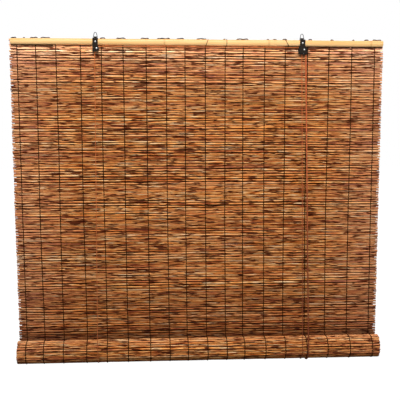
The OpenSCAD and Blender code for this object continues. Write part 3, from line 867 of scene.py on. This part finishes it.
paleBamboo = bambooFinish(bambooSet, "pale bamboo", (0.88, 0.57, 0.24), (0.79, 0.44, 0.15),
                          (0.69, 0.35, 0.1), (0.5, 0.25, 0.07), battenLight)
tanBamboo = bambooFinish(bambooSet, "tan bamboo", (0.7, 0.47, 0.22), (0.58, 0.36, 0.15),
                         (0.42, 0.24, 0.09), (0.26, 0.13, 0.045))


def cutAcross(x):
    # in edit mode: a ring of edges round the lath at a place along X
    bpy.ops.mesh.select_all(action="SELECT")
    bpy.ops.mesh.bisect(plane_co=(x, 0, 0), plane_no=(1, 0, 0))


def makeLath(name, node, finish, look, halfRound):
    near = 1e-5
    low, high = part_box(node)
    length, deep, tall = high - low
    back = Vector((0, high.y if halfRound else low.y, (low.z + high.z) / 2))
    clearSelection()
    if halfRound:
        bpy.ops.mesh.primitive_cylinder_add(
            vertices=look["sides"], radius=tall / 2, depth=length, location=back,
            rotation=(0, math.radians(90), 0), end_fill_type="NGON")
    else:
        middle = back + Vector((0, deep / 2, 0))
        bpy.ops.mesh.primitive_cube_add(size=1, location=middle, scale=(length, deep, tall))
    lath = bpy.context.object
    lath.name = lath.data.name = name
    bpy.ops.object.transform_apply(location=True, rotation=True, scale=True)
    bpy.ops.object.mode_set(mode="EDIT")
    bpy.ops.mesh.select_all(action="SELECT")
    if halfRound:
        bpy.ops.mesh.bisect(plane_co=back, plane_no=(0, 1, 0), use_fill=True, clear_outer=True)
        bpy.ops.mesh.select_all(action="SELECT")
        bpy.ops.transform.resize(value=(1, deep / (tall / 2), 1), center_override=back)
        pick(lath, "EDGE", lambda edge: all(abs(abs(v.co.x) - length / 2) < near for v in edge.verts))
    bpy.ops.mesh.bevel(offset=look["soften"], segments=2, affect="EDGES")
    for x in np.arange(look["every"] - length / 2, length / 2 - look["endRoom"], look["every"]):
        cutAcross(x)
    for x in look["knots"]:
        for step, grow in ((-2, 1), (-1, look["ridge"]), (0, look["dip"]), (1, look["ridge"]), (2, 1)):
            ring = x + step * look["spread"]
            cutAcross(ring)
            pick(lath, "VERT", lambda vert: abs(vert.co.x - ring) < near)
            bpy.ops.transform.resize(value=(1, 1 + (grow - 1) * look["depthShare"], grow),
                                     center_override=(ring, *back.yz))
    bpy.ops.object.mode_set(mode="OBJECT")
    along = np.array([v.co.x for v in lath.data.vertices])
    for vert in lath.data.vertices:
        vert.co.z += look["wobble"] * math.sin(vert.co.x * look["wobbleX"] + back.y * look["wobbleY"])
    rings = lath.data.attributes.new("knotRing", "FLOAT", "POINT")
    fromKnot = np.min(np.abs(along[:, None] - np.array(look["knots"])[None, :]), axis=1)
    rings.data.foreach_set("value", np.clip(1 - fromKnot / (look["ringReach"] * look["spread"]), 0, 1))
    bpy.ops.object.shade_smooth_by_angle(angle=math.radians(look["sharp"]))
    dress(lath, "head", node, finish)
    print(name, "lath,", len(lath.data.polygons), "faces")


makeLath("frontLath", "front_batten", paleBamboo, lathSet, True)
makeLath("rearLath", "rear_batten", tanBamboo, lathSet, False)

lashSet = {
    # where the lashing thread lies on top of the head, in millimetres along X
    "spans": (
        (-449, -436), (-420, -416), (-404, -386), (-380, -357), (-240, -226), (-200, -178), (-142, -122),
        (-103, -71), (-56, -37), (-8, 17), (57, 63), (89, 118), (163, 169), (178, 188), (201, 213),
        (265, 275), (320, 328), (374, 379), (403, 415), (424, 447)),
    # and where it shows under the front batten
    "under": ((-449, -434), (-425, -350), (210, 242), (262, 368), (371, 449)),
    "strand": 0.0008, "strands": 2, "thick": 0.0028, "underShare": 0.8, "lay": 0.007,
    # on top: height with its mean share, swing and waves, how it dips at its ends, and how it strays
    "rise": 0.0017, "mean": 0.85, "swing": 0.3, "riseWaves": 400, "sink": 0.004, "shoulder": 0.002,
    "back": 0.0012, "stray": 0.0008, "strayWaves": 260, "every": 0.0015,
    # below: place in front of the batten's back, drop in strands with its swing and waves
    "ahead": 0.0014, "drop": 1.3, "dropSwing": 0.4, "dropWaves": 300, "underEvery": 6,
    # the ties round the front batten: radius, and how far each leans
    "tie": 0.0007, "slants": (0.0029, 0.0, -0.0045),
}


def makeLashing(look):
    low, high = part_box("front_batten")
    paths = []
    for first, last in look["spans"]:
        first, last = first / 1000, last / 1000
        xs = np.linspace(first, last, max(9, int((last - first) / look["every"])))
        ends = np.minimum(np.minimum(xs - first, last - xs) / look["shoulder"], 1)
        lift = look["rise"] * (look["mean"] + look["swing"] * np.sin(xs * look["riseWaves"]))
        z = high.z - look["sink"] + (look["sink"] + lift) * np.sqrt(ends)
        y = high.y + look["back"] + look["stray"] * np.sin(xs * look["strayWaves"])
        paths += strandsOf(np.column_stack([xs, y, z]), look["thick"], look["strands"], look["lay"])
    for first, last in look["under"]:
        xs = np.linspace(first, last, 12 + int((last - first) / look["underEvery"])) / 1000
        z = low.z - look["strand"] * (look["drop"] + look["dropSwing"] * np.sin(xs * look["dropWaves"]))
        path = np.column_stack([xs, np.full(len(xs), high.y - look["ahead"]), z])
        paths += strandsOf(path, look["thick"] * look["underShare"], look["strands"], look["lay"])
    piece = tubes("lashing", paths, look["strand"])
    piece.data.materials.append(darkTwine)
    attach(piece, "head")


def makeTies(look):
    low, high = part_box("front_batten")
    grow, middle = look["tie"], (low.z + high.z) / 2
    deep, tall = high.y - low.y + grow, (high.z - low.z) / 2 + grow
    paths = []
    for x, slant in zip(placesOf("batten_ties"), look["slants"]):
        loop = [(x + slant * math.cos(a), high.y - deep * math.sin(a), middle + tall * math.cos(a))
                for a in np.linspace(0, math.pi, 22)]
        loop += [(x - slant, high.y + grow, low.z), (x + slant, high.y + grow, high.z)]
        paths.append(np.array(loop + [loop[0]]))
    dress(tubes("battenTies", paths, grow), "head", "batten_ties", darkTwine)


makeLashing(lashSet)
makeTies(lashSet)
print("lashing and ties made")


# Hardware: the CAD pieces stay, with their own finish, and the wheels' edges softened

hardwareSet = {
    # name, colour, its dark parts, metallic, roughness and shine for each slot
    "black_steel": ("black painted steel", (0.016, 0.012, 0.008), (0.007, 0.005, 0.004), 0.0, 0.42, 0.08),
    "steel_wire": ("dull steel wire", (0.14, 0.14, 0.15), (0.07, 0.07, 0.075), 1.0, 0.34, 0.5),
    "bright_steel": ("bright rivet steel", (0.66, 0.66, 0.66), (0.5, 0.5, 0.5), 1.0, 0.28, 0.5),
    "black_plastic": ("black moulded wheel", (0.02, 0.02, 0.02), (0.012, 0.012, 0.012), 0.0, 0.45, 0.25),
    "pale_plastic": ("pale moulded roller", (0.6, 0.58, 0.52), (0.45, 0.43, 0.38), 0.0, 0.45, 0.5),
    "brass": ("stamped brass", (0.6, 0.44, 0.2), (0.42, 0.3, 0.13), 1.0, 0.35, 0.5),
}

scuffSet = {
    "scuff": (350, 350, 350), "darkAt": 0.35, "lightAt": 0.65, "smoother": 0.08, "rougher": 0.12,
    "bump": 0.08, "bumpDepth": 0.0002,
}

edgeSet = {"widths": {"left_pulley": 0.00012, "lock_roller": 0.0002}, "weld": 0.00001, "angle": 40}


def metalFinish(look, name, colour, dark, metallic, rough, shine):
    material, tree, shader = startMaterial(name)
    scuff = addNoise(tree, objectCoords(tree), look["scuff"], detail=4, rough=0.65)
    tone = addRamp(tree, scuff, [(look["darkAt"], dark), (look["lightAt"], colour)])
    tree.links.new(tone, shader.inputs["Base Color"])
    gloss = addRange(tree, scuff, 0, 1, rough - look["smoother"], rough + look["rougher"])
    tree.links.new(gloss, shader.inputs["Roughness"])
    shader.inputs["Metallic"].default_value = metallic
    shader.inputs["Specular IOR Level"].default_value = shine
    addBump(tree, shader, scuff, look["bump"], look["bumpDepth"])
    return material


def dressNodes(finishes, edges):
    for part in frame["record"]["subparts"]:
        node = frame["nodes"][part["node"]]
        finish = finishes.get(part["material_slot"])
        if not finish or node.hide_render:
            continue
        node.data.materials.clear()
        node.data.materials.append(finish)
        if part["node"] in edges["widths"]:
            weld = node.modifiers.new("weld", "WELD")
            weld.merge_threshold = edges["weld"]
            bevel = node.modifiers.new("softEdge", "BEVEL")
            bevel.width = edges["widths"][part["node"]]
            bevel.segments = 2
            bevel.limit_method = "ANGLE"
            bevel.angle_limit = math.radians(edges["angle"])


hardware = {slot: metalFinish(scuffSet, *values) for slot, values in hardwareSet.items()}
dressNodes({"tan_bamboo": tanBamboo, **hardware}, edgeSet)
print("hardware dressed")


# Floor, light and background

stageSet = {
    "floorDrop": 1.2, "floorSize": 40.0, "floorTone": (0.34, 0.34, 0.34, 1), "floorRough": 0.9,
    "floorGlow": 1.34, "floorShare": 0.78, "white": (1, 1, 1, 1), "ambient": 0.15, "backdrop": 1.0,
    "lamps": {"key": {"place": (-0.15, -1.5, 1.35), "size": 1.0, "power": 74.0},
              "fill": {"place": (1.2, -1.9, -0.1), "size": 1.5, "power": 9.0},
              "rear": {"place": (0.7, 1.8, 0.8), "size": 1.6, "power": 28.0}},
    "aim": (0, 0, -0.4),
}


def mixShaders(tree, share, first, second, output):
    mix = addNode(tree, "ShaderNodeMixShader")
    tree.links.new(share, mix.inputs["Fac"])
    tree.links.new(first, mix.inputs[1])
    tree.links.new(second, mix.inputs[2])
    tree.links.new(mix.outputs["Shader"], tree.nodes[output].inputs["Surface"])


def makeFloor(look):
    # grey, with a glow that only the camera sees
    clearSelection()
    place = (0, 0, cadBox[0].z - look["floorDrop"])
    bpy.ops.mesh.primitive_plane_add(size=look["floorSize"], location=place)
    floor = bpy.context.object
    floor.name = "floor"
    material, tree, shader = startMaterial("pale floor")
    shader.inputs["Base Color"].default_value = look["floorTone"]
    shader.inputs["Roughness"].default_value = look["floorRough"]
    glow = addNode(tree, "ShaderNodeEmission", {"Color": look["white"], "Strength": look["floorGlow"]})
    seen = addNode(tree, "ShaderNodeLightPath").outputs["Is Camera Ray"]
    share = addMath(tree, "MULTIPLY", seen, look["floorShare"])
    mixShaders(tree, share, shader.outputs["BSDF"], glow.outputs["Emission"], "Material Output")
    floor.data.materials.append(material)


def makeWorld(look):
    # white to the camera and in reflections, and dim as a light
    world = bpy.data.worlds.new("studio")
    bpy.context.scene.world = world
    world.use_nodes = True
    tree = world.node_tree
    ambient = tree.nodes["Background"]
    ambient.inputs["Color"].default_value = look["white"]
    ambient.inputs["Strength"].default_value = look["ambient"]
    white = addNode(tree, "ShaderNodeBackground", {"Color": look["white"], "Strength": look["backdrop"]})
    path = addNode(tree, "ShaderNodeLightPath").outputs
    seen = addMath(tree, "MAXIMUM", path["Is Camera Ray"], path["Is Glossy Ray"])
    mixShaders(tree, seen, ambient.outputs["Background"], white.outputs["Background"], "World Output")


def makeLamps(look):
    for name, lampSet in look["lamps"].items():
        bpy.ops.object.light_add(type="AREA", location=lampSet["place"])
        lamp = bpy.context.object
        lamp.name = name
        lamp.data.size = lampSet["size"]
        lamp.data.energy = lampSet["power"]
        away = Vector(lampSet["place"]) - Vector(look["aim"])
        lamp.rotation_euler = away.to_track_quat("Z", "Y").to_euler()


makeFloor(stageSet)
makeWorld(stageSet)
makeLamps(stageSet)
bpy.context.scene.view_settings.view_transform = "Standard"
print("stage set")
